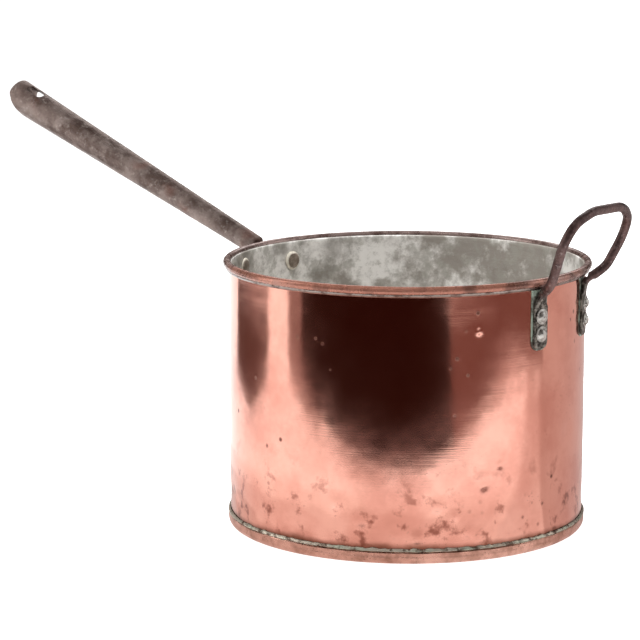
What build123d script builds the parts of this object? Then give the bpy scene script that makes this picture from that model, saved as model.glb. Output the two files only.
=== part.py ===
from build123d import *

import os
from math import cos, radians, sin

# Deep copper saucepan: a straight-sided tinned pot with a wired rim, a riveted iron long handle and a
# riveted iron helper handle. Nothing on it moves.
#
# Millimetres, +Z up. The origin is the middle of the base, on the surface that the pan stands on. The
# long handle points along -X, and the helper handle faces it across the pan, a little out of line.

# ---- Driving dimensions -------------------------------------------------------------------------

# Pot: a copper tube standing in a shallow copper pan that is lapped and soldered round its foot.
pot_radius = 127.0  # outside of the wall: a ten inch pan
pot_height = 192.2  # from the table to the top of the rim
wall_thick = 1.2
base_thick = 2.0
lap_height = 9.4  # how far the base pan's side comes up round the wall
lap_thick = 1.3
base_corner = 4.8  # outside radius between the base pan's floor and its side
seam_bead_out, seam_bead_rise = 0.4, 2.5
lining_thick = 0.4
lining_corner = 3.0

# Rim: the wall's top edge is turned outward round an iron wire, and a fillet of solder closes it below.
roll_radius = 2.8  # outside of the roll
roll_end_angle = -110.0  # where the sheet's edge is tucked under, from level on the outer side
wire_clearance = 0.05
rim_solder_angle = -50.0  # where the solder starts on the roll
rim_solder_foot, rim_solder_bulge = 184.4, (129.5, 184.9)

# Long handle: a round forged bar that grows thicker toward its pierced end.
handle_rise = 23.55  # degrees above the horizontal
handle_root_height = 186.2  # where the bar's middle line would meet the wall
handle_length = 256.6  # from the wall to the tip, along the slope
bar_start = 9.2  # along the slope, where the neck becomes the bar
bar_start_radius, bar_end_radius = 7.6, 12.5
start_edge_round, end_edge_round = 1.5, 4.0
under_cut = ((231.0, -13.0), (246.0, -8.0), (256.2, 3.5))  # along the slope, and above the middle line
hang_hole_along, hang_hole_offset = 239.0, 7.9  # along the slope, and off the bar's own line
hang_hole_length, hang_hole_width = 15.5, 5.0
hang_hole_slant = 60.0  # degrees that it leans out of square, down toward +Y
palm_thick = 4.0  # the plate that is riveted to the wall
palm_top = 183.4
palm_rivet_angle = 13.85  # degrees each side of the handle's own line
palm_front_rivet_height, palm_back_rivet_height = 177.8, 175.0
palm_low_rivet_height = 142.0
palm_lobe_radius = 10.0

# Helper handle: one round iron rod bent to a loop, with both ends forged flat into straps.
helper_turn = 2.6  # degrees out of line with the long handle
strap_half_angle = 14.6
strap_width, strap_thick = 13.5, 2.0
strap_bottom, strap_shoulder = 143.2, 172.2
rod_bend_out = 130.2  # where the rod turns outward, under the rim
rod_bend_heights = {-1: 180.8, 1: 181.8}
strap_corner = 5.0
rod_radius = 3.4
loop_lean = 67.0  # degrees above the horizontal
loop_foot_out, loop_foot_height = 136.0, 188.0
# The loop is bent by hand, so its sides differ a little. Each corner is (across from the middle, along
# the lean), from the foot on the side of -Y or +Y up to the top.
loop_corners = {
    -1: ((41.5, 2.7), (49.0, 33.0), (44.5, 49.0), (22.0, 55.8)),
    1: ((40.0, 4.7), (46.5, 27.0), (43.0, 42.0), (27.0, 53.5)),
}
loop_bends = (20.0, 26.0, 16.0, 40.0)  # radius of the bend at each corner
solder_bed_thick, solder_bed_margin, solder_bed_top = 0.4, 1.0, 184.2
helper_rivet_heights = {"lower": 153.8, "upper": 166.0}

# Rivets.
shank_radius, shank_hole_radius = 3.0, 3.05
palm_inner_head = (6.8, 2.0)  # radius and height
palm_outer_head = (6.2, 2.6)
strap_inner_head = (5.4, 1.4)
strap_flash = (5.6, 0.9)  # the thin ring left round the dome by the rivet set
strap_dome = (4.3, 3.0)

# ---- Values that follow from them ---------------------------------------------------------------

wall_inner = pot_radius - wall_thick
lining_inner = wall_inner - lining_thick
lap_outer = pot_radius + lap_thick
floor_top = base_thick + lining_thick
roll_bore = roll_radius - wall_thick
roll_out = wall_inner + roll_radius  # the roll's centre, from the pot's axis
roll_up = pot_height - roll_radius
palm_outer = pot_radius + palm_thick
strap_inner = pot_radius + solder_bed_thick
strap_outer = strap_inner + strap_thick
long_direction = 180.0

palm_rivets = {
    "front": (long_direction + palm_rivet_angle, palm_front_rivet_height),
    "back": (long_direction - palm_rivet_angle, palm_back_rivet_height),
    "lower": (long_direction, palm_low_rivet_height),
}
strap_directions = {"front": helper_turn - strap_half_angle, "back": helper_turn + strap_half_angle}
strap_rivets = {
    f"{side}_{place}": (direction, height)
    for side, direction in strap_directions.items()
    for place, height in helper_rivet_heights.items()
}
all_rivets = [*palm_rivets.values(), *strap_rivets.values()]

os.makedirs("parts", exist_ok=True)


def save(piece, name):
    """Label a finished piece and write it to its own file."""
    piece.part.label = name
    export_step(piece.part, f"parts/{name}.step")


def out_from_axis(direction, radius, height):
    """The point at a radius from the pot's axis, in a direction given in degrees from +X."""
    return Vector(radius * cos(radians(direction)), radius * sin(radians(direction)), height)


def wall_plane(direction, height):
    """A plane on the pot's axis that faces outward, with its X axis level and its Y axis up."""
    out = out_from_axis(direction, 1, 0)
    return Plane(origin=(0, 0, height), x_dir=(-out.Y, out.X, 0), z_dir=out)


def radial_plane(direction, height):
    """A plane through the pot's axis, with its X axis outward and its Y axis up."""
    out = out_from_axis(direction, 1, 0)
    return Plane(origin=(0, 0, height), x_dir=out, z_dir=(out.Y, -out.X, 0))


def drill(rivets):
    """Cut each rivet's hole through the part being built, outward from the pot's axis."""
    for direction, height in rivets:
        with BuildSketch(wall_plane(direction, height)) as hole:
            Circle(shank_hole_radius)
        extrude(hole.sketch, amount=2 * pot_radius, mode=Mode.SUBTRACT)


def sleeve(inner, outer, mode):
    """Cut, or keep only, what lies between two radii from the pot's axis, over the whole height."""
    with BuildSketch(Plane.XY) as ring:
        Circle(outer)
        Circle(inner, mode=Mode.SUBTRACT)
    extrude(ring.sketch, amount=2 * pot_height, mode=mode)


# ---- Base pan: a shallow dished copper bottom, lapped up round the foot of the wall --------------

with BuildPart() as base_pan:
    with BuildSketch(Plane.XZ):
        with BuildLine():
            Line((0, 0), (lap_outer - base_corner, 0))
            RadiusArc((lap_outer - base_corner, 0), (lap_outer, base_corner), -base_corner)
            Polyline(
                (lap_outer, base_corner),
                (lap_outer, lap_height),
                (pot_radius, lap_height),
                (pot_radius, base_thick),
                (0, base_thick),
                (0, 0),
            )
        make_face()
    revolve(axis=Axis.Z)
save(base_pan, "base_pan")


# ---- Rim: the roll at the top of the wall, the iron wire in it, and the solder below it ----------


def round_roll(radius, angle):
    """A point of the rim's section, at a radius and an angle about the centre of the roll."""
    return (roll_out + radius * cos(radians(angle)), roll_up + radius * sin(radians(angle)))


with BuildPart() as pot_wall:
    with BuildSketch(Plane.XZ):
        with BuildLine():
            Polyline(
                (wall_inner, roll_up), (wall_inner, base_thick), (pot_radius, base_thick), (pot_radius, roll_up)
            )
            ThreePointArc(
                (pot_radius, roll_up), round_roll(roll_bore, 30), round_roll(roll_bore, roll_end_angle)
            )
            Line(round_roll(roll_bore, roll_end_angle), round_roll(roll_radius, roll_end_angle))
            ThreePointArc(
                round_roll(roll_radius, roll_end_angle), round_roll(roll_radius, 30), (wall_inner, roll_up)
            )
        make_face()
    revolve(axis=Axis.Z)
    drill(all_rivets)
save(pot_wall, "pot_wall")

with BuildPart() as rim_wire:
    with BuildSketch(Plane.XZ):
        with Locations((roll_out, roll_up)):
            Circle(roll_bore - wire_clearance)
    revolve(axis=Axis.Z)
save(rim_wire, "rim_wire")

with BuildPart() as rim_solder:
    solder_start = round_roll(roll_radius, rim_solder_angle)
    sheet_edge = round_roll(roll_radius, roll_end_angle)
    foot = (pot_radius, rim_solder_foot)
    with BuildSketch(Plane.XZ):
        with BuildLine():
            ThreePointArc(solder_start, round_roll(roll_radius, -80), sheet_edge)
            Polyline(sheet_edge, (pot_radius, sheet_edge[1]), foot)
            ThreePointArc(foot, rim_solder_bulge, solder_start)
        make_face()
    revolve(axis=Axis.Z)
save(rim_solder, "rim_solder")

# ---- Seam solder: the bead along the top of the base pan's lap -----------------------------------

with BuildPart() as seam_solder:
    bead_edge = lap_outer + seam_bead_out
    bead_top = lap_height + seam_bead_rise
    with BuildSketch(Plane.XZ):
        with BuildLine():
            Polyline((pot_radius, bead_top), (pot_radius, lap_height), (bead_edge, lap_height))
            ThreePointArc(
                (bead_edge, lap_height), (lap_outer + 0.2, lap_height + 0.6 * seam_bead_rise), (pot_radius, bead_top)
            )
        make_face()
    revolve(axis=Axis.Z)
save(seam_solder, "seam_solder")

# ---- Tin lining: the wiped coat inside, thicker in the corner, up to the start of the roll -------

with BuildPart() as tin_lining:
    with BuildSketch(Plane.XZ):
        with BuildLine():
            Polyline(
                (lining_inner - lining_corner, floor_top),
                (0, floor_top),
                (0, base_thick),
                (wall_inner, base_thick),
                (wall_inner, roll_up),
                (lining_inner, roll_up - 1),
                (lining_inner, floor_top + lining_corner),
            )
            RadiusArc(
                (lining_inner, floor_top + lining_corner), (lining_inner - lining_corner, floor_top), lining_corner
            )
        make_face()
    revolve(axis=Axis.Z)
    drill(all_rivets)
save(tin_lining, "tin_lining")


# ---- Long handle ---------------------------------------------------------------------------------
# One forging. Its palm is riveted under the rim, its neck bends out round the rim, and the round bar
# thickens to a blunt end, which is rounded off underneath and pierced with a slanting hanging hole.

palm_reach = pot_radius * sin(radians(palm_rivet_angle))
rise = Vector(-cos(radians(handle_rise)), 0, sin(radians(handle_rise)))
bar_up = Vector(sin(radians(handle_rise)), 0, cos(radians(handle_rise)))
bar_root = Vector(-pot_radius, 0, handle_root_height)
bar_side_plane = Plane(origin=bar_root, x_dir=rise, z_dir=(0, 1, 0))  # its Y axis is out of the bar's top
bar_axis = Axis(bar_root, rise)
hole_line = Vector(0, sin(radians(hang_hole_slant)), 0) - bar_up * cos(radians(hang_hole_slant))
hole_off = Vector(0, cos(radians(hang_hole_slant)), 0) + bar_up * sin(radians(hang_hole_slant))
hole_middle = bar_root + rise * hang_hole_along + hole_off * hang_hole_offset

with BuildPart() as palm:
    with BuildSketch(wall_plane(long_direction, 0)):
        with Locations((-palm_reach, palm_back_rivet_height), (palm_reach, palm_front_rivet_height)):
            Circle(palm_lobe_radius)
        with Locations((0, palm_low_rivet_height)):
            Circle(palm_lobe_radius)
        make_hull()
        with Locations((-66, palm_low_rivet_height - 14), (66, palm_low_rivet_height - 14)):
            Circle(48, mode=Mode.SUBTRACT)
        with Locations((0, palm_top)):
            Rectangle(200, 60, align=(Align.CENTER, Align.MIN), mode=Mode.SUBTRACT)
    extrude(amount=palm_outer + 10)
    sleeve(pot_radius, palm_outer, Mode.INTERSECT)

with BuildPart() as bar:
    with BuildSketch(bar_side_plane) as bar_half:
        with BuildLine():
            Polyline(
                (bar_start, 0),
                (bar_start, bar_start_radius),
                (handle_length, bar_end_radius),
                (handle_length, 0),
                (bar_start, 0),
            )
        make_face()
        fillet(bar_half.vertices().sort_by(Axis.Z)[-1], end_edge_round)
        fillet(bar_half.vertices().sort_by(Axis.X)[-1], start_edge_round)
    revolve(axis=bar_axis)
    with BuildSketch(bar_side_plane):
        with BuildLine():
            ThreePointArc(*under_cut)
            Line(under_cut[-1], (handle_length + 10, 0))
            Line((handle_length + 10, 0), (handle_length + 10, -3 * bar_end_radius))
            Line((handle_length + 10, -3 * bar_end_radius), (under_cut[0][0], -3 * bar_end_radius))
            Line((under_cut[0][0], -3 * bar_end_radius), under_cut[0])
        make_face()
    extrude(amount=2 * bar_end_radius, both=True, mode=Mode.SUBTRACT)
    with BuildSketch(Plane(origin=hole_middle, x_dir=rise, z_dir=hole_line)):
        SlotOverall(hang_hole_length, hang_hole_width)
    extrude(amount=3 * bar_end_radius, both=True, mode=Mode.SUBTRACT)


def neck_section(out, height, slope, width, thick):
    """A section across the neck, at a distance out from the axis, where the neck slopes so steeply."""
    along = Vector(-cos(radians(slope)), 0, sin(radians(slope)))
    with BuildSketch(Plane(origin=(-out, 0, height), x_dir=(0, 1, 0), z_dir=along)) as section:
        RectangleRounded(width, thick, 0.48 * thick)
    return section.sketch


with BuildPart() as long_handle:
    neck_end = bar_root + rise * (bar_start + 4.0)  # the neck runs a little way into the bar
    neck_end_size = 2 * bar_start_radius - 0.6
    loft(
        [
            neck_section(129.3, 158.0, 89.0, 27.0, 3.0),
            neck_section(131.2, 171.0, 78.0, 24.0, 6.0),
            neck_section(135.8, 180.5, 62.0, 19.5, 8.6),
            neck_section(-neck_end.X, neck_end.Z, handle_rise, neck_end_size, neck_end_size),
        ]
    )
    add(bar)
    add(palm)
    drill(palm_rivets.values())
save(long_handle, "long_handle")


# ---- Helper handle -------------------------------------------------------------------------------
# The flat straps lie on thin beds of solder. Each draws in to the round rod, which bends out under
# the rim and then up into a loop that leans away from the pan.


def loop_point(side, across, along):
    """A point of the loop, across from its middle and along its lean."""
    out = loop_foot_out + along * cos(radians(loop_lean))
    turned = Vector(out, side * across, loop_foot_height + along * sin(radians(loop_lean)))
    return turned.rotate(Axis.Z, helper_turn)


def rod_bend(side):
    """Where the forged end of the rod turns outward under the rim, and the way that the rod leaves it."""
    direction = helper_turn + side * strap_half_angle
    bend = out_from_axis(direction, rod_bend_out, rod_bend_heights[side])
    foot = loop_point(side, *loop_corners[side][0])
    return bend, (foot - bend).normalized()


def strap_outline(direction, margin, top):
    """The strap's outline on the wall, grown by a margin, with its lower corners rounded."""
    with BuildSketch(wall_plane(direction, 0)) as outline:
        with Locations((0, top)):
            width = strap_width + 2 * margin
            Rectangle(width, top - strap_bottom + margin, align=(Align.CENTER, Align.MAX))
        fillet(outline.vertices().group_by(Axis.Y)[0], strap_corner + margin)
    extrude(outline.sketch, amount=2 * pot_radius)


with BuildPart() as helper_handle:
    for direction in strap_directions.values():
        strap_outline(direction, 0, strap_shoulder + 1)
    sleeve(strap_inner, strap_outer, Mode.INTERSECT)
    for side in (-1, 1):
        direction = helper_turn + side * strap_half_angle
        level = out_from_axis(direction + 90, 1, 0)
        strap_middle = (strap_inner + strap_outer) / 2
        bend, along_rod = rod_bend(side)
        with BuildSketch(Plane(out_from_axis(direction, strap_middle, strap_shoulder), x_dir=level)):
            RectangleRounded(strap_width - 0.1, strap_thick - 0.1, 0.8)
        with BuildSketch(Plane(out_from_axis(direction, strap_middle + 0.4, 176.8), x_dir=level)):
            RectangleRounded(9.8, 3.4, 1.5)
        with BuildSketch(Plane(bend, x_dir=level, z_dir=along_rod + Vector(0, 0, 1))):
            RectangleRounded(7.6, 5.0, 2.3)
        with BuildSketch(Plane(bend + along_rod * 6.3, x_dir=level, z_dir=along_rod)):
            RectangleRounded(2 * rod_radius - 0.15, 2 * rod_radius - 0.15, rod_radius - 0.1)
        loft()
    with BuildLine() as rod_line:
        ends = [rod_bend(side)[0] + rod_bend(side)[1] * 6.0 for side in (-1, 1)]
        corners = {side: [loop_point(side, *corner) for corner in loop_corners[side]] for side in (-1, 1)}
        FilletPolyline(
            ends[0], *corners[-1], *corners[1][::-1], ends[1], radius=[*loop_bends, *loop_bends[::-1]]
        )
    with BuildSketch(rod_line.line ^ 0):
        Circle(rod_radius)
    sweep()
    sleeve(strap_inner, 2 * pot_radius, Mode.INTERSECT)
    with BuildSketch(Plane.XY.offset(rim_solder_foot - 0.2)):  # the rods are filed back to clear the rim
        Circle(roll_out + roll_radius + 0.1)
    extrude(amount=3 * roll_radius, mode=Mode.SUBTRACT)
    drill(strap_rivets.values())
save(helper_handle, "helper_handle")

for side, direction in strap_directions.items():
    with BuildPart() as solder_bed:
        strap_outline(direction, solder_bed_margin, solder_bed_top)
        sleeve(pot_radius, strap_inner, Mode.INTERSECT)
        drill(strap_rivets.values())
    save(solder_bed, f"helper_solder_{side}")


# ---- Rivets: a flat head inside the pot, and a hammered one outside ------------------------------


def rivet_heads(direction, height, outer_surface, inner_head, outer_head, flash):
    """Both heads of a rivet, each trimmed to the curved surface that it bears on, and the shank."""
    inner_radius, inner_height = inner_head
    outer_radius, outer_height = outer_head
    grip = 1.0  # how far the untrimmed heads reach into the metal
    with BuildSketch(radial_plane(direction, height)) as section:
        with BuildLine():
            face = lining_inner - inner_height
            Polyline((face, 0), (face, 0.75 * inner_radius), (face + 0.55 * inner_height, inner_radius))
            Polyline(
                (face + 0.55 * inner_height, inner_radius),
                (lining_inner + grip, inner_radius),
                (lining_inner + grip, 0),
                (face, 0),
            )
        make_face()
        with BuildLine():
            crown = outer_surface + outer_height
            ThreePointArc(
                (crown, 0),
                (outer_surface + 0.72 * outer_height, 0.68 * outer_radius),
                (outer_surface, outer_radius),
            )
            Polyline(
                (outer_surface, outer_radius), (outer_surface - grip, outer_radius), (outer_surface - grip, 0), (crown, 0)
            )
        make_face()
        if flash:
            flash_radius, flash_height = flash
            with Locations((outer_surface - grip, 0)):
                Rectangle(grip + flash_height, flash_radius, align=Align.MIN)
    revolve(section.sketch, axis=Axis((0, 0, height), out_from_axis(direction, 1, 0)))
    sleeve(lining_inner, outer_surface, Mode.SUBTRACT)
    with BuildSketch(wall_plane(direction, height).offset(lining_inner - grip)) as shank:
        Circle(shank_radius)
    extrude(shank.sketch, amount=outer_surface - lining_inner + 2 * grip)


for name, (direction, height) in palm_rivets.items():
    with BuildPart() as palm_rivet:
        rivet_heads(direction, height, palm_outer, palm_inner_head, palm_outer_head, None)
    save(palm_rivet, f"long_handle_rivet_{name}")

for name, (direction, height) in strap_rivets.items():
    with BuildPart() as strap_rivet:
        rivet_heads(direction, height, strap_outer, strap_inner_head, strap_dome, strap_flash)
    save(strap_rivet, f"helper_rivet_{name}")
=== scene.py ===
from math import cos, exp, hypot, pi, radians, sin

import bpy
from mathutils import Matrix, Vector, noise


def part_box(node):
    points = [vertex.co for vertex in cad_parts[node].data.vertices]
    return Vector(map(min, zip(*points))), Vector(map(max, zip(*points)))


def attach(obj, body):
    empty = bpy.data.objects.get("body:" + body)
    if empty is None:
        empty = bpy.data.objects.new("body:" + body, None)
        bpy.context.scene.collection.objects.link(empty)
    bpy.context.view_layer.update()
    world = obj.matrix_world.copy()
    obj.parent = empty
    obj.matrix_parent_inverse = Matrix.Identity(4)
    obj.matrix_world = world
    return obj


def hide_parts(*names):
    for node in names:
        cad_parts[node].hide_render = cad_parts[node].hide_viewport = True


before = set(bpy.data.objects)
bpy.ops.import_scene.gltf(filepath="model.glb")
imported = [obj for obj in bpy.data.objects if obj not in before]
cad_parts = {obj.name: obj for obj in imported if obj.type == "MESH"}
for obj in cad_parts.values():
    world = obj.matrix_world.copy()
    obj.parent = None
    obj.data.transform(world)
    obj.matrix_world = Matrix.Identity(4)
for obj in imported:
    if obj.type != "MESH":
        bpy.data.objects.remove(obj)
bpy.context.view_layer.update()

# ---- Base pan -----------------------------------------------------------------------------------
# A shallow pan of thick copper, hammered up round the foot of the wall. It is the most handled and
# heated part, so its polish is scuffed and speckled, and its upper edge is a little uneven.

base_low, base_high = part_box("base_pan")
base_outer = base_high.x
pot_radius = base_outer - 0.0013
floor_thick = 0.002
base_corner = 0.0048
steps_round = 720


def arc(centre, radius, start, end, steps):
    """Points of a section along an arc, from one angle to another in degrees."""
    turn = [radians(start + (end - start) * i / steps) for i in range(steps + 1)]
    return [(centre[0] + radius * cos(a), centre[1] + radius * sin(a)) for a in turn]


def straight(start, end, step):
    """Points of a section along a straight run, about one step apart."""
    count = max(1, round(hypot(end[0] - start[0], end[1] - start[1]) / step))
    share = [i / count for i in range(count + 1)]
    return [(start[0] + (end[0] - start[0]) * s, start[1] + (end[1] - start[1]) * s) for s in share]


def turned(name, section, worked=None, closed=True):
    """A piece turned about the pot's axis from a section of (radius, height) points, then worked."""
    points = [p for i, p in enumerate(section) if i == 0 or p != section[i - 1]]
    rows = len(points)
    vertices = []
    for column in range(steps_round):
        angle = 2 * pi * column / steps_round
        for radius, height in points:
            if worked:
                radius, height = worked(angle, radius, height)
            vertices.append((radius * cos(angle), radius * sin(angle), height))
    faces = []
    for column in range(steps_round):
        here, there = column * rows, (column + 1) % steps_round * rows
        for row in range(rows if closed else rows - 1):
            nearer = (row + 1) % rows
            faces.append((here + row, there + row, there + nearer, here + nearer))
    mesh = bpy.data.meshes.new(name)
    mesh.from_pydata(vertices, [], faces)
    mesh.validate()
    mesh.polygons.foreach_set("use_smooth", [True] * len(mesh.polygons))
    piece = bpy.data.objects.new(name, mesh)
    bpy.context.scene.collection.objects.link(piece)
    return piece


def fixed(piece, nodes, metal):
    """Give a finished piece its metal, and put it in the place of its CAD nodes on the pan."""
    piece.data.materials.clear()
    piece.data.materials.append(metal)
    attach(piece, "root")
    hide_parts(*nodes)


class Finish:
    """A metal's finish, built up from grain, patches, spots and wear laid over a metal shader."""

    def __init__(self, name):
        self.metal = bpy.data.materials.new(name)
        self.metal.use_nodes = True
        self.tree = self.metal.node_tree
        self.shader = self.tree.nodes["Principled BSDF"]
        self.place = self.tree.nodes.new("ShaderNodeTexCoord").outputs["Object"]

    def put(self, kind, **inputs):
        node = self.tree.nodes.new("ShaderNode" + kind)
        for key, value in inputs.items():
            self.feed(node.inputs[key.replace("_", " ")], value)
        return node

    def feed(self, socket, value):
        if isinstance(value, bpy.types.NodeSocket):
            self.tree.links.new(value, socket)
        else:
            socket.default_value = value

    def stretched(self, x, y, z):
        """The place on the piece, with each axis drawn out or squeezed."""
        return self.put("Mapping", Vector=self.place, Scale=(x, y, z)).outputs["Vector"]

    def cloud(self, scale, detail=4.0, rough=0.55, place=None, shift=0.0):
        """Uneven patches, from 0 to 1."""
        node = self.tree.nodes.new("ShaderNodeTexNoise")
        node.noise_dimensions = "4D"
        for key, value in (("Vector", place or self.place), ("W", shift), ("Scale", scale),
                           ("Detail", detail), ("Roughness", rough)):
            self.feed(node.inputs[key], value)
        return node.outputs["Fac"]

    def pits(self, scale, place=None):
        """The distance to the nearest of many scattered points."""
        node = self.put("TexVoronoi", Vector=place or self.place, Scale=scale)
        return node.outputs["Distance"]

    def between(self, value, low, high, to_low=0.0, to_high=1.0):
        """A value spread smoothly from one range over another."""
        node = self.tree.nodes.new("ShaderNodeMapRange")
        node.interpolation_type = "SMOOTHSTEP"
        for socket, number in zip(node.inputs[:5], (value, low, high, to_low, to_high)):
            self.feed(socket, number)
        return node.outputs["Result"]

    def calc(self, kind, a, b):
        """Two values worked into one."""
        node = self.tree.nodes.new("ShaderNodeMath")
        node.operation = kind
        self.feed(node.inputs[0], a)
        self.feed(node.inputs[1], b)
        return node.outputs["Value"]

    def plus(self, a, b):
        return self.calc("ADD", a, b)

    def minus(self, a, b):
        return self.calc("SUBTRACT", a, b)

    def times(self, a, b):
        return self.calc("MULTIPLY", a, b)

    def over(self, share, under, upper):
        """One colour laid over another, by a share from 0 to 1."""
        node = self.tree.nodes.new("ShaderNodeMix")
        node.data_type = "RGBA"
        self.feed(node.inputs["Factor"], share)
        self.feed(node.inputs["A"], under if isinstance(under, bpy.types.NodeSocket) else (*under, 1))
        self.feed(node.inputs["B"], upper if isinstance(upper, bpy.types.NodeSocket) else (*upper, 1))
        return node.outputs["Result"]

    def height(self):
        """How high on the pan."""
        return self.put("SeparateXYZ", Vector=self.place).outputs["Z"]

    def done(self, colour, rough, relief, depth, metallic=1.0):
        """Join colour, roughness and relief, whose depth is in metres, to the shader."""
        self.feed(self.shader.inputs["Base Color"], colour)
        self.feed(self.shader.inputs["Roughness"], rough)
        self.feed(self.shader.inputs["Metallic"], metallic)
        bump = self.put("Bump", Height=relief, Distance=depth, Strength=1.0)
        self.feed(self.shader.inputs["Normal"], bump.outputs["Normal"])
        return self.metal


clean_copper, handled_copper, brown_speckle = (0.76, 0.42, 0.33), (0.42, 0.21, 0.15), (0.14, 0.055, 0.03)
base_copper = Finish("scuffed_copper")
scuff = base_copper.cloud(90, 6, 0.65)
speckle = base_copper.between(base_copper.pits(420), 0.0, 0.35, 1.0, 0.0)
speckle = base_copper.times(speckle, base_copper.between(base_copper.cloud(60, 3), 0.45, 0.62))
base_hue = base_copper.over(base_copper.between(scuff, 0.35, 0.7), clean_copper, handled_copper)
base_hue = base_copper.over(base_copper.times(speckle, 0.75), base_hue, brown_speckle)
base_lines = base_copper.cloud(1.0, 3, 0.6, base_copper.stretched(25, 25, 1500))
scuffed_copper = base_copper.done(
    base_hue,
    base_copper.between(scuff, 0.3, 0.75, 0.2, 0.42),
    base_copper.plus(base_copper.cloud(160, 5, 0.6), base_copper.times(base_lines, 0.3)),
    0.00035,
)


edge_wander, side_wander = 0.0007, 0.00022


def worked_base(angle, radius, height):
    """The lap's upper edge wanders a little, and its side is not quite even."""
    if height > base_corner and radius > pot_radius - 0.0001:
        way = Vector((3 * cos(angle), 3 * sin(angle), 0))
        share = (height - base_corner) / (base_high.z - base_corner)
        height -= edge_wander * share * (0.5 + 0.5 * noise.noise(way * 3))
        if radius > pot_radius + 0.0005:
            radius -= side_wander * (0.5 + 0.5 * noise.noise(way * 6))
    return radius, height


base_section = (
    straight((0.0004, 0), (base_outer - base_corner, 0), 0.012)
    + arc((base_outer - base_corner, base_corner), base_corner, -90, 0, 10)
    + straight((base_outer, base_corner), (base_outer, base_high.z - 0.0004), 0.0008)
    + straight((base_outer - 0.0004, base_high.z), (pot_radius, base_high.z), 0.0005)
    + straight((pot_radius, base_high.z), (pot_radius, floor_thick), 0.0015)
    + straight((pot_radius, floor_thick), (0.0004, floor_thick), 0.012)
)
fixed(turned("base_dish", base_section, worked_base), ["base_pan"], scuffed_copper)

# ---- Wall ---------------------------------------------------------------------------------------
# A tube of sheet copper, hammered, planished and polished round and round on a lathe. Its top edge is
# rolled outward over the rim wire. Years of use have left dents, pricks, scratches and dark spots.

wall_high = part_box("pot_wall")[1]
sheet_thick = 0.0012
roll_radius = 0.00279
wall_inner = pot_radius - sheet_thick
roll_centre = (wall_inner + roll_radius, wall_high.z - roll_radius)
roll_bore = roll_radius - sheet_thick
near_side = radians(-57.2)

# Each dent: degrees to the right of the near side, height, half width, depth.
dents = [
    (22.6, 0.160, 0.0030, 0.00035), (25.4, 0.057, 0.0085, 0.00050), (30.2, 0.066, 0.0042, 0.00045),
    (24.6, 0.052, 0.0040, 0.00035), (9.5, 0.040, 0.0060, 0.00045), (-13.6, 0.030, 0.0070, 0.00050),
    (-4.0, 0.026, 0.0090, 0.00040), (15.2, 0.033, 0.0045, 0.00050), (-22.0, 0.041, 0.0060, 0.00035),
    (3.6, 0.018, 0.0060, 0.00040), (19.0, 0.021, 0.0070, 0.00045), (36.0, 0.028, 0.0060, 0.00035),
    (-38.0, 0.024, 0.0080, 0.00040), (-41.0, 0.096, 0.0080, 0.00030), (62.0, 0.080, 0.0090, 0.00040),
    (96.0, 0.050, 0.0080, 0.00045), (128.0, 0.120, 0.0070, 0.00040), (160.0, 0.034, 0.0090, 0.00050),
    (-96.0, 0.060, 0.0090, 0.00045), (-150.0, 0.090, 0.0080, 0.00040), (-70.0, 0.026, 0.0070, 0.00040),
]


planish_depth, foot_wave_depth, hammer_depth, deepest_dent = 0.00016, 0.00075, 0.00005, 0.0009
foot_middle, foot_spread = 0.022, 0.014
plain_top = roll_centre[1] - 0.004


def worked_wall(angle, radius, height):
    """Slow waves left by the planishing, a wavier foot above the lap, and the dents."""
    if radius < pot_radius - 0.0001 or height > plain_top:
        return radius, height
    way = Vector((cos(angle), sin(angle), 0)) * 0.127 + Vector((0, 0, height))
    foot = exp(-(((height - foot_middle) / foot_spread) ** 2))
    fade = min(1, (plain_top - height) / 0.01)
    sunk = planish_depth * (0.5 + 0.5 * noise.noise(way * 28))
    sunk += foot_wave_depth * foot * (0.5 + 0.5 * noise.noise(way * 70))
    sunk += hammer_depth * (0.5 + 0.5 * noise.noise(way * 120))
    for turn, level, half_width, depth in dents:
        across = (angle - near_side - radians(turn) + pi) % (2 * pi) - pi
        away = hypot(across * pot_radius, height - level) / half_width
        if away < 2.5:
            sunk += depth * exp(-away * away * 1.6)
    return radius - min(sunk * fade, deepest_dent), height


wall_section = (
    straight((pot_radius, floor_thick), (pot_radius, roll_centre[1]), 0.0013)
    + arc(roll_centre, roll_bore, 180, -110, 24)
    + arc(roll_centre, roll_radius, -110, 180, 40)
    + straight((wall_inner, roll_centre[1]), (wall_inner, floor_thick), 0.006)
)
bright_copper, deeper_copper, smeared_copper = (0.85, 0.42, 0.325), (0.72, 0.31, 0.235), (0.60, 0.25, 0.18)
# The last colour here is painted shade, laid along the wall just above the seam bead.
black_spot, red_blotch, dark_speck, seam_shadow_colour = (
    (0.10, 0.030, 0.018), (0.20, 0.05, 0.03), (0.18, 0.06, 0.035), (0.17, 0.055, 0.03)
)
wall_copper = Finish("polished_copper")
height = wall_copper.height()
lines = wall_copper.cloud(1.0, 4, 0.65, wall_copper.stretched(9, 9, 1100))
coarse_lines = wall_copper.cloud(1.0, 3, 0.6, wall_copper.stretched(5, 5, 260), 3)
patch = wall_copper.cloud(22, 6, 0.62)
smear = wall_copper.cloud(1.0, 5, 0.6, wall_copper.stretched(14, 14, 5), 7)
spotty = wall_copper.between(wall_copper.cloud(16, 2, 0.5, shift=5), 0.54, 0.64)
spot = wall_copper.times(wall_copper.between(wall_copper.pits(75), 0.04, 0.17, 1.0, 0.0), spotty)
low_down = wall_copper.between(height, 0.02, 0.085, 1.0, 0.0)
blotch = wall_copper.between(wall_copper.cloud(62, 4, 0.6, shift=9), 0.54, 0.66)
blotch = wall_copper.times(blotch, low_down)
specked = wall_copper.between(wall_copper.cloud(34, 3, 0.5, shift=2), 0.52, 0.66)
speck = wall_copper.times(wall_copper.between(wall_copper.pits(330), 0.05, 0.16, 1.0, 0.0), specked)
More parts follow.
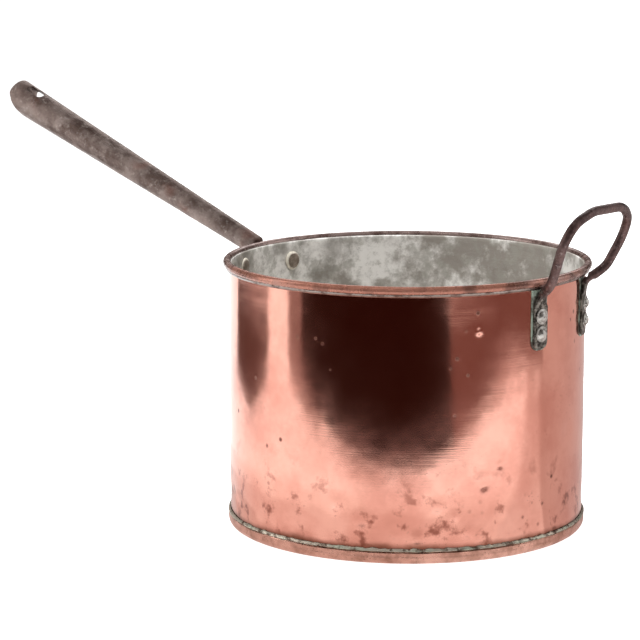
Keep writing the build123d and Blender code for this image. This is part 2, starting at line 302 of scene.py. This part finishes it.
# Painted shade: a dark band along the wall just above the seam bead, with a wandering upper edge.
seam_shadow_edge = wall_copper.plus(height, wall_copper.times(wall_copper.cloud(40, 4), 0.008))
seam_shadow = wall_copper.between(seam_shadow_edge, 0.0145, 0.0195, 0.9, 0.0)
hue = wall_copper.over(wall_copper.between(patch, 0.38, 0.68), bright_copper, deeper_copper)
hue = wall_copper.over(wall_copper.between(smear, 0.45, 0.72, 0.0, 0.55), hue, smeared_copper)
hue = wall_copper.over(wall_copper.times(spot, 0.85), hue, black_spot)
hue = wall_copper.over(wall_copper.times(blotch, 0.8), hue, red_blotch)
hue = wall_copper.over(wall_copper.times(speck, 0.6), hue, dark_speck)
hue = wall_copper.over(seam_shadow, hue, seam_shadow_colour)
gloss = wall_copper.between(patch, 0.35, 0.75, 0.08, 0.16)
gloss = wall_copper.plus(gloss, wall_copper.times(spot, 0.25))
gloss = wall_copper.plus(gloss, wall_copper.times(lines, 0.045))
grain = wall_copper.plus(lines, wall_copper.times(coarse_lines, 0.4))
grain = wall_copper.minus(grain, wall_copper.times(speck, 0.5))
grain = wall_copper.minus(grain, wall_copper.times(spot, 2.5))
polished_copper = wall_copper.done(hue, gloss, grain, 0.000016)
fixed(turned("wall_sheet", wall_section, worked_wall), ["pot_wall"], polished_copper)

# ---- Rim wire -----------------------------------------------------------------------------------
# A ring of iron wire inside the roll, which stiffens the mouth. It is seen nowhere.

wire_iron = Finish("wire_iron")
dull_wire = wire_iron.done(
    wire_iron.over(wire_iron.cloud(300), (0.16, 0.13, 0.12), (0.25, 0.21, 0.19)),
    wire_iron.between(wire_iron.cloud(200), 0.3, 0.7, 0.4, 0.6),
    wire_iron.cloud(900),
    0.00005,
)
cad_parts["rim_wire"].data.materials.clear()
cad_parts["rim_wire"].data.materials.append(dull_wire)

# ---- Rim face -----------------------------------------------------------------------------------
# The roll was wiped with tin along with the inside. The tin is worn through to copper where hands and
# cloths have rubbed it most, and stays silver elsewhere.

rim_finish = Finish("worn_tinned_roll")
place = rim_finish.put("SeparateXYZ", Vector=rim_finish.place)
copper_side = rim_finish.plus(
    rim_finish.times(place.outputs["X"], 1.6), rim_finish.times(place.outputs["Y"], -2.6)
)
worn = rim_finish.plus(copper_side, rim_finish.times(rim_finish.cloud(30, 5, 0.6), 0.9))
worn = rim_finish.between(worn, 0.46, 0.80, 0.15, 0.9)
rim_hue = rim_finish.over(rim_finish.cloud(90, 4, 0.6), (0.46, 0.40, 0.38), (0.24, 0.18, 0.165))
rim_hue = rim_finish.over(worn, rim_hue, (0.46, 0.18, 0.12))
grime = rim_finish.between(rim_finish.cloud(60, 5, 0.6, shift=4), 0.45, 0.62, 0.25, 0.75)
rim_hue = rim_finish.over(grime, rim_hue, (0.07, 0.03, 0.022))
worn_roll = rim_finish.done(
    rim_hue,
    rim_finish.between(rim_finish.cloud(140, 4), 0.3, 0.7, 0.18, 0.34),
    rim_finish.cloud(420, 5, 0.6),
    0.00012,
    0.6,
)
wall_sheet = bpy.data.objects["wall_sheet"]
wall_sheet.data.materials.append(worn_roll)
for face in wall_sheet.data.polygons:
    if face.center.z > roll_centre[1] - 0.0045 and hypot(face.center.x, face.center.y) > wall_inner - 0.0001:
        face.material_index = 1

# ---- Rim solder ---------------------------------------------------------------------------------
# A fillet of soft solder run in under the roll to close it. It is lumpy, greyer than the tin, with a
# darker line where it meets the roll.

solder_low, solder_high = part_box("rim_solder")


def worked_solder(angle, radius, height):
    """The fillet swells and thins round the rim."""
    if radius > pot_radius + 0.0004:
        way = Vector((cos(angle), sin(angle), 0))
        thin = 0.5 + 0.5 * noise.noise(way * 14)
        thin += 0.35 * (0.5 + 0.5 * noise.noise(way * 60))
        share = min(1, (radius - pot_radius) / 0.003)
        radius -= 0.0007 * thin * share
        height += 0.0004 * thin * share * (solder_high.z - height) / (solder_high.z - solder_low.z)
    return radius, height


fillet_centre, fillet_radius = (0.12777, 0.18694), 0.00262
fillet_foot, fillet_root, fillet_shelf = 0.18445, 0.1867, 0.1868
solder_section = arc(fillet_centre, fillet_radius, 5, -107, 16) + [
    (pot_radius, fillet_foot),
    (pot_radius, fillet_root),
    (0.1277, fillet_shelf),
    (0.1290, fillet_shelf),
]
rim_metal = Finish("rim_solder")
dirt = rim_metal.between(rim_metal.cloud(120, 6, 0.65), 0.46, 0.64)
solder_hue = rim_metal.over(rim_metal.cloud(45, 4, 0.6), (0.40, 0.34, 0.31), (0.22, 0.16, 0.135))
solder_hue = rim_metal.over(rim_metal.times(dirt, 0.85), solder_hue, (0.12, 0.06, 0.045))
lumpy_solder = rim_metal.done(
    solder_hue, rim_metal.between(dirt, 0.0, 1.0, 0.22, 0.5), rim_metal.cloud(500, 5, 0.6), 0.00015
)
fixed(turned("rim_fillet", solder_section, worked_solder), ["rim_solder"], lumpy_solder)

# ---- Seam solder --------------------------------------------------------------------------------
# A thin irregular bead of solder along the top of the base pan's lap, pale where it is clean and
# green where acids have reached it.

seam_low, seam_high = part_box("seam_solder")


def worked_seam(angle, radius, height):
    """The bead runs thick and thin, and in places it is nearly gone."""
    way = Vector((cos(angle), sin(angle), 0))
    wander = 0.5 + 0.5 * noise.noise(way * 30)
    wander = min(1, wander + 0.3 * noise.noise(way * 90))
    if height > seam_low.z + 0.0001:
        height -= (height - seam_low.z) * 0.55 * max(0, wander)
    if radius > pot_radius + 0.0003:
        radius -= 0.0005 * max(0, wander)
    return radius, height


seam_section = straight((seam_high.x, seam_low.z), (seam_high.x - 0.0002, seam_low.z + 0.0009), 0.0003) + [
    (seam_high.x - 0.0006, seam_low.z + 0.0016),
    (seam_high.x - 0.0011, seam_low.z + 0.0022),
    (pot_radius, seam_high.z),
    (pot_radius, seam_low.z),
]
seam_metal = Finish("seam_solder")
green = seam_metal.between(seam_metal.cloud(70, 5, 0.6, shift=3), 0.48, 0.62)
seam_hue = seam_metal.over(seam_metal.cloud(260, 5, 0.7), (0.66, 0.60, 0.50), (0.36, 0.28, 0.21))
seam_hue = seam_metal.over(seam_metal.times(green, 0.45), seam_hue, (0.42, 0.50, 0.38))
seam_dirt = seam_metal.between(seam_metal.cloud(170, 5, 0.6, shift=8), 0.50, 0.60)
seam_hue = seam_metal.over(seam_metal.times(seam_dirt, 0.85), seam_hue, (0.08, 0.035, 0.02))
pale_seam = seam_metal.done(
    seam_hue, seam_metal.between(seam_dirt, 0.0, 1.0, 0.35, 0.6), seam_metal.cloud(900, 4), 0.0002, 0.7
)
fixed(turned("seam_bead", seam_section, worked_seam), ["seam_solder"], pale_seam)

# ---- Tin lining ---------------------------------------------------------------------------------
# The inside was wiped with molten tin, which lies in soft runs and swirls. It has dulled to a mottled
# grey, with darker stains, paler bloom and scour marks.

lining_low, lining_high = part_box("tin_lining")
lining_outer = lining_high.x
lining_inner = lining_outer - 0.0004
lining_floor = lining_low.z + 0.0004
inner_corner = 0.003


def worked_lining(angle, radius, height):
    """Soft runs in the tin, always a little inside the coat's full thickness."""
    way = Vector((cos(angle), sin(angle), 0)) * 0.126 + Vector((0, 0, height * 0.6))
    run = 0.00018 * (0.5 + 0.5 * noise.noise(way * 90))
    if radius <= lining_inner + 0.00001 and height > lining_floor + inner_corner:
        radius += run
    return radius, height


lining_section = (
    straight((0.0004, lining_floor), (lining_inner - inner_corner, lining_floor), 0.01)
    + arc((lining_inner - inner_corner, lining_floor + inner_corner), inner_corner, -90, 0, 8)
    + straight((lining_inner, lining_floor + inner_corner), (lining_inner, lining_high.z - 0.001), 0.0022)
    + [(lining_outer, lining_high.z)]
    + straight((lining_outer, lining_high.z), (lining_outer, lining_low.z), 0.02)
    + straight((lining_outer, lining_low.z), (0.0004, lining_low.z), 0.02)
)
tin = Finish("wiped_tin")
drift = tin.cloud(18, 7, 0.68)
fine = tin.cloud(75, 6, 0.7, shift=4)
stain = tin.between(tin.cloud(26, 6, 0.66, shift=9), 0.50, 0.66)
scour = tin.cloud(1.0, 4, 0.6, tin.stretched(40, 40, 420), 6)
tin_hue = tin.over(tin.between(drift, 0.43, 0.57), (0.34, 0.31, 0.275), (0.95, 0.93, 0.89))
tin_hue = tin.over(tin.between(fine, 0.46, 0.62, 0.0, 0.7), tin_hue, (0.40, 0.385, 0.34))
tin_hue = tin.over(tin.times(stain, 0.55), tin_hue, (0.20, 0.175, 0.15))
wiped_tin = tin.done(
    tin_hue,
    tin.between(fine, 0.3, 0.7, 0.36, 0.6),
    tin.plus(drift, tin.plus(fine, tin.times(scour, 0.4))),
    0.0004,
    0.35,
)
fixed(turned("tin_coat", lining_section, worked_lining), ["tin_lining"], wiped_tin)

# ---- Long handle --------------------------------------------------------------------------------
# One forging of wrought iron, filed and then worn smooth by hands. Its surface is pitted and brown
# with old rust, and paler where it is rubbed. Its palm is riveted to the wall.


def forged(node, name, depth, grain_size, voxel):
    """A copy of a CAD piece with the uneven surface that hammer, file and rust leave on it."""
    piece = bpy.data.objects.new(name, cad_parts[node].data.copy())
    bpy.context.scene.collection.objects.link(piece)
    remesh = piece.modifiers.new("even_faces", "REMESH")
    remesh.mode = "VOXEL"
    remesh.voxel_size = voxel
    soften = piece.modifiers.new("eased_edges", "SMOOTH")
    soften.iterations = 2
    bpy.context.view_layer.update()
    shown = piece.evaluated_get(bpy.context.evaluated_depsgraph_get())
    mesh = bpy.data.meshes.new_from_object(shown)
    piece.modifiers.clear()
    piece.data = mesh
    normals = [vertex.normal.copy() for vertex in mesh.vertices]
    for vertex, normal in zip(mesh.vertices, normals):
        broad = noise.noise(vertex.co * 90) * 0.5 + 0.5
        small = noise.noise(vertex.co / grain_size) * 0.5 + 0.5
        pit = max(0, noise.noise(vertex.co * 320 + Vector((7, 3, 5))) - 0.32)
        vertex.co -= normal * (depth * (0.55 * broad + 0.45 * small) + 2.2 * depth * pit)
    mesh.polygons.foreach_set("use_smooth", [True] * len(mesh.polygons))
    return piece


iron = Finish("worn_wrought_iron")
rust = iron.cloud(55, 7, 0.68)
rubbed = iron.cloud(1.0, 5, 0.6, iron.stretched(70, 70, 70), 3)
pale = iron.between(iron.cloud(240, 6, 0.7, shift=5), 0.52, 0.68)
red = iron.between(iron.cloud(38, 3, 0.5, shift=8), 0.55, 0.72)
iron_hue = iron.over(iron.between(rust, 0.36, 0.64), (0.115, 0.078, 0.066), (0.27, 0.205, 0.18))
iron_hue = iron.over(iron.between(rubbed, 0.46, 0.66, 0.0, 0.6), iron_hue, (0.37, 0.30, 0.27))
iron_hue = iron.over(iron.times(pale, 0.5), iron_hue, (0.52, 0.45, 0.41))
iron_hue = iron.over(iron.times(red, 0.45), iron_hue, (0.24, 0.09, 0.06))
hole_pits = iron.between(iron.pits(520), 0.05, 0.4)
worn_iron = iron.done(
    iron_hue,
    iron.between(rust, 0.3, 0.7, 0.32, 0.52),
    iron.plus(iron.cloud(620, 6, 0.7), iron.times(hole_pits, 0.5)),
    0.00035,
    0.8,
)
# The bar's near end is drawn in a little way toward the rim, and the stretch dies out up the bar.
bar = forged("long_handle", "long_handle_forging", 0.00022, 0.0045, 0.0009)
bar_rise = radians(23.55)
neck_top, bar_reach = 0.1815, 0.012
bar_way = Vector((-cos(bar_rise), 0, sin(bar_rise)))
bar_root = Vector((-pot_radius, 0, 0.1862))
shoulder_start, shoulder_end, drawn_in = 0.0090, 0.024, 0.0036
shoulder_slack = 0.0012
for vertex in bar.data.vertices:
    along = (vertex.co - bar_root).dot(bar_way)
    off_axis = (vertex.co - bar_root - bar_way * along).length
    if along > shoulder_start - shoulder_slack and vertex.co.z > neck_top and off_axis < bar_reach:
        share = min(1, max(0, (shoulder_end - along) / (shoulder_end - shoulder_start)))
        vertex.co -= bar_way * drawn_in * share
fixed(bar, ["long_handle"], worn_iron)

# ---- Long handle's rivets -----------------------------------------------------------------------
# Three iron rivets hold the palm to the wall. Their broad inner heads were tinned over with the rest
# of the inside, and use has worn them brown in the middle with a pale ring of tin round the edge.

for side in ("front", "back", "lower"):
    node = f"long_handle_rivet_{side}"
    head_low, head_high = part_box(node)
    palm_rivet = Finish(f"brown_rivet_{side}")
    across = palm_rivet.put("VectorMath", Vector=palm_rivet.stretched(0, 1, 1))
    across.operation = "DISTANCE"
    across.inputs[1].default_value = (0, (head_low.y + head_high.y) / 2, (head_low.z + head_high.z) / 2)
    wander = palm_rivet.times(palm_rivet.cloud(260, 4), 0.0018)
    head_radius = (head_high.z - head_low.z) / 2
    ring_start, ring_full = 0.74 * head_radius + 0.0009, 0.9 * head_radius + 0.0009
    ring = palm_rivet.between(palm_rivet.plus(across.outputs["Value"], wander), ring_start, ring_full)
    rivet_hue = palm_rivet.over(
        palm_rivet.between(palm_rivet.cloud(170, 6, 0.7), 0.4, 0.62), (0.17, 0.13, 0.10), (0.33, 0.27, 0.22)
    )
    rivet_hue = palm_rivet.over(ring, rivet_hue, (0.86, 0.80, 0.68))
    brown_rivet = palm_rivet.done(
        rivet_hue,
        palm_rivet.between(palm_rivet.cloud(300), 0.3, 0.7, 0.3, 0.5),
        palm_rivet.cloud(700, 5, 0.65),
        0.0003,
        0.4,
    )
    fixed(forged(node, f"{node}_hammered", 0.00014, 0.0021, 0.0004), [node], brown_rivet)

# ---- Helper handle ------------------------------------------------------------------------------
# An iron rod bent to a loop, with its ends forged flat into straps. The loop is bare and rusty brown;
# the straps were dipped in tin, which has blackened and worn to pale remains.

loop_iron = Finish("rusty_loop_iron")
loop_height = loop_iron.height()
on_strap = loop_iron.between(
    loop_iron.plus(loop_height, loop_iron.times(loop_iron.cloud(120, 3), 0.012)), 0.182, 0.190, 1.0, 0.0
)
loop_rust = loop_iron.cloud(80, 7, 0.68)
loop_hue = loop_iron.over(loop_iron.between(loop_rust, 0.36, 0.64), (0.07, 0.042, 0.04), (0.20, 0.125, 0.115))
loop_pale = loop_iron.between(loop_iron.cloud(330, 6, 0.7, shift=5), 0.54, 0.7)
loop_hue = loop_iron.over(loop_iron.times(loop_pale, 0.5), loop_hue, (0.50, 0.42, 0.40))
blackened, tin_remains = (0.045, 0.038, 0.032), (0.34, 0.31, 0.27)
strap_wear = loop_iron.between(loop_iron.cloud(260, 6, 0.7, shift=2), 0.44, 0.62)
strap_hue = loop_iron.over(strap_wear, blackened, tin_remains)
loop_hue = loop_iron.over(on_strap, loop_hue, strap_hue)
rusty_iron = loop_iron.done(
    loop_hue,
    loop_iron.between(loop_rust, 0.3, 0.7, 0.27, 0.48),
    loop_iron.plus(loop_iron.cloud(700, 6, 0.7), loop_iron.between(loop_iron.pits(480), 0.05, 0.4, 0.0, 0.6)),
    0.00035,
    0.85,
)
loop = forged("helper_handle", "helper_handle_forging", 0.00016, 0.0035, 0.00045)
fixed(loop, ["helper_handle"], rusty_iron)

# ---- Solder under the straps ---------------------------------------------------------------------
# Each strap was sweated to the wall on a thin bed of solder, which shows as a line round its edge,
# grey in places and green with verdigris in others.

bed = Finish("green_solder")
verdigris = bed.between(bed.cloud(95, 5, 0.6), 0.42, 0.58)
bed_hue = bed.over(verdigris, (0.10, 0.085, 0.07), (0.36, 0.44, 0.36))
green_solder = bed.done(
    bed_hue, bed.between(bed.cloud(200), 0.3, 0.7, 0.45, 0.7), bed.cloud(900, 4), 0.0002, 0.4
)
for side in ("front", "back"):
    solder_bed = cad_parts[f"helper_solder_{side}"]
    solder_bed.data.materials.clear()
    solder_bed.data.materials.append(green_solder)

# ---- Helper handle's rivets ----------------------------------------------------------------------
# Two tinned iron rivets go through each strap. Their domes were closed with a rivet set, which left a
# thin ring round each, and the domes are rubbed bright.

strap_rivet = Finish("bright_rivet")
dome_hue = strap_rivet.over(
    strap_rivet.between(strap_rivet.cloud(260, 6, 0.7), 0.42, 0.62), (0.62, 0.60, 0.56), (0.30, 0.28, 0.25)
)
dome_dirt = strap_rivet.between(strap_rivet.cloud(520, 4), 0.58, 0.68)
dome_hue = strap_rivet.over(dome_dirt, dome_hue, (0.06, 0.05, 0.045))
bright_rivet = strap_rivet.done(
    dome_hue,
    strap_rivet.between(strap_rivet.cloud(300), 0.3, 0.7, 0.24, 0.42),
    strap_rivet.cloud(800, 5, 0.65),
    0.00025,
    0.9,
)
for side in ("front", "back"):
    for level in ("lower", "upper"):
        node = f"helper_rivet_{side}_{level}"
        fixed(forged(node, f"{node}_hammered", 0.00012, 0.0019, 0.00032), [node], bright_rivet)

# ---- Table, lights and camera --------------------------------------------------------------------
# The pan stands on a white table in a room that is dark behind the camera, between a tall soft light
# on its left and a broad weaker one on its right.

view_turn = radians(32.8)


def round_view(turn, distance, up):
    """A place round the pan, at a turn to the right of the camera in degrees."""
    angle = view_turn + radians(turn)
    return Vector((distance * sin(angle), -distance * cos(angle), up))


def painted(name, colour, glow):
    """A matt surface that also gives off light of its own."""
    paint = bpy.data.materials.new(name)
    paint.use_nodes = True
    shader = paint.node_tree.nodes["Principled BSDF"]
    shader.inputs["Base Color"].default_value = (*colour, 1)
    shader.inputs["Roughness"].default_value = 0.7
    shader.inputs["Specular IOR Level"].default_value = 0.1
    shader.inputs["Emission Color"].default_value = (*glow, 1)
    shader.inputs["Emission Strength"].default_value = 1
    return paint


def panel(name, corners, paint):
    """A flat stage surface through its corners."""
    mesh = bpy.data.meshes.new(name)
    mesh.from_pydata([tuple(corner) for corner in corners], [], [tuple(range(len(corners)))])
    mesh.materials.append(paint)
    surface = bpy.data.objects.new(name, mesh)
    bpy.context.scene.collection.objects.link(surface)
    return surface


table_level = base_low.z - 0.0002
forward, right = round_view(0, 1, 0), round_view(90, 1, 0)


def flat_ground(name, level, outline, paint):
    """A level surface whose corners are given as (to the right, toward the camera) of the pan's middle."""
    return panel(name, [right * r + forward * f + Vector((0, 0, level)) for r, f in outline], paint)


def spoke(turn, distance):
    """A corner of the ground, at a turn to the right of the camera and a distance."""
    return distance * sin(radians(turn)), distance * cos(radians(turn))


table_white = painted("table_white", (0.9, 0.9, 0.9), (1.08, 1.08, 1.08))
table = flat_ground("table", table_level, [(-6, 6), (6, 6), (6, -6), (-6, -6)], table_white)
table.visible_glossy = False
# Level sheets that only the metals see: they stand in for the room that the copper mirrors. The bright
# ground ends in front of the pan, where the room is dark; it has a dark gap on the left, it is dull on
# the right and behind, and it is shaded close to the pan's foot.
layer_gap = 0.00005
mirrored_ground = [
    ("lit_ground", (1.42, 1.46, 1.48), [(-5, 5), (5, 5), (5, -5), (-5, -5)]),
    ("near_ground", (1.24, 1.22, 1.21), [spoke(15 * corner, 0.31) for corner in range(24)]),
    ("shaded_ground", (1.05, 0.99, 0.97), [spoke(15 * corner, 0.245) for corner in range(24)]),
    ("foot_shadow", (0.82, 0.72, 0.69), [spoke(15 * corner, 0.19) for corner in range(24)]),
    ("half_lit_ground", (0.98, 0.93, 0.92), [
        (0, 0.15), (0.09, 0.15), (0.90, 0.16), (4, -0.6), spoke(162, 4),
    ]),
    ("dull_ground", (0.67, 0.57, 0.55), [(0, 0.075), (0.09, 0.075), (0.90, 0.03), (4, -1.0), spoke(170, 4)]),
    ("dim_ground", (0.19, 0.09, 0.075), [
        (0.20, 0.425), (0.43, 0.43), (0.72, 0.335), (0.76, 0.18), (0.78, 0.0), (1.8, 0.0), (1.8, 0.95),
        (1.02, 1.10), (0.52, 1.14),
    ]),
    ("dim_strip", (0.30, 0.22, 0.21), [
        (-1.30, 0.26), (-0.71, 0.20), (-0.42, 0.33), (-0.42, 0.45), (-1.30, 0.60),
    ]),
    ("dark_room", (0.024, 0.006, 0.004), [
        (-1.30, 0.52), (-0.71, 0.33), (-0.40, 0.375), (-0.15, 0.385), (0.22, 0.43), (0.27, 0.55),
        (0.50, 1.05), (0.62, 1.40), (0.62, 4), (-5, 4),
    ]),
    ("dark_gap", (0.12, 0.065, 0.055), [
        (-0.49, -0.155), (-0.66, -0.055), (-0.80, -0.03), (-1.12, -0.10), (-1.08, -0.50),
        (-0.84, -0.82), (-0.48, -0.44),
    ]),
]
for layer, (name, glow, outline) in enumerate(mirrored_ground):
    level = table_level - layer_gap * (len(mirrored_ground) + 1 - layer)
    ground = flat_ground(name, level, outline, painted(name, (0, 0, 0), glow))
    ground.visible_camera = ground.visible_diffuse = False

lamps = [
    # name, turn from the camera, distance, height, width, tall, watts
    ("left_window", -89, 1.1, 0.60, 0.30, 1.10, 3),
    ("right_window", 100, 1.3, 0.70, 0.90, 1.00, 4),
    ("back_window", 176, 1.8, 1.30, 1.60, 0.80, 8),
    ("ceiling", -40, 0.5, 1.90, 1.20, 1.20, 80),
]
for name, turn, distance, level, width, tall, watts in lamps:
    lamp = bpy.data.lights.new(name, "AREA")
    lamp.shape = "RECTANGLE"
    lamp.size, lamp.size_y = width, tall
    lamp.energy = watts
    stand = bpy.data.objects.new(name, lamp)
    stand.location = round_view(turn, distance, level)
    aim = Vector((0, 0, 0.12)) - stand.location
    stand.rotation_euler = aim.to_track_quat("-Z", "Y").to_euler()
    bpy.context.scene.collection.objects.link(stand)
    # The ceiling light only fills the pot: the metals don't mirror it.
    stand.visible_glossy = name != "ceiling"

room = bpy.data.worlds.new("room")
bpy.context.scene.world = room
room.use_nodes = True
air = room.node_tree
seen = air.nodes.new("ShaderNodeLightPath").outputs["Is Camera Ray"]
bright = air.nodes.new("ShaderNodeBackground")
bright.inputs["Color"].default_value = (1, 1, 1, 1)
dim = air.nodes["Background"]
dim.inputs["Color"].default_value = (0.02, 0.009, 0.007, 1)
choice = air.nodes.new("ShaderNodeMixShader")
air.links.new(seen, choice.inputs["Fac"])
air.links.new(dim.outputs["Background"], choice.inputs[1])
air.links.new(bright.outputs["Background"], choice.inputs[2])
air.links.new(choice.outputs["Shader"], air.nodes["World Output"].inputs["Surface"])
bpy.context.scene.view_settings.view_transform = "Standard"

eye = bpy.data.objects.new("camera", bpy.data.cameras.new("camera"))
eye.data.lens, eye.data.sensor_width = 156.25, 36
eye.location = (1.0610, -1.6463, 0.5000)
eye.rotation_euler = (Vector((-0.0572, -0.0266, 0.1446)) - eye.location).to_track_quat("-Z", "Y").to_euler()
bpy.context.scene.collection.objects.link(eye)
bpy.context.scene.camera = eye

bpy.context.view_layer.update()
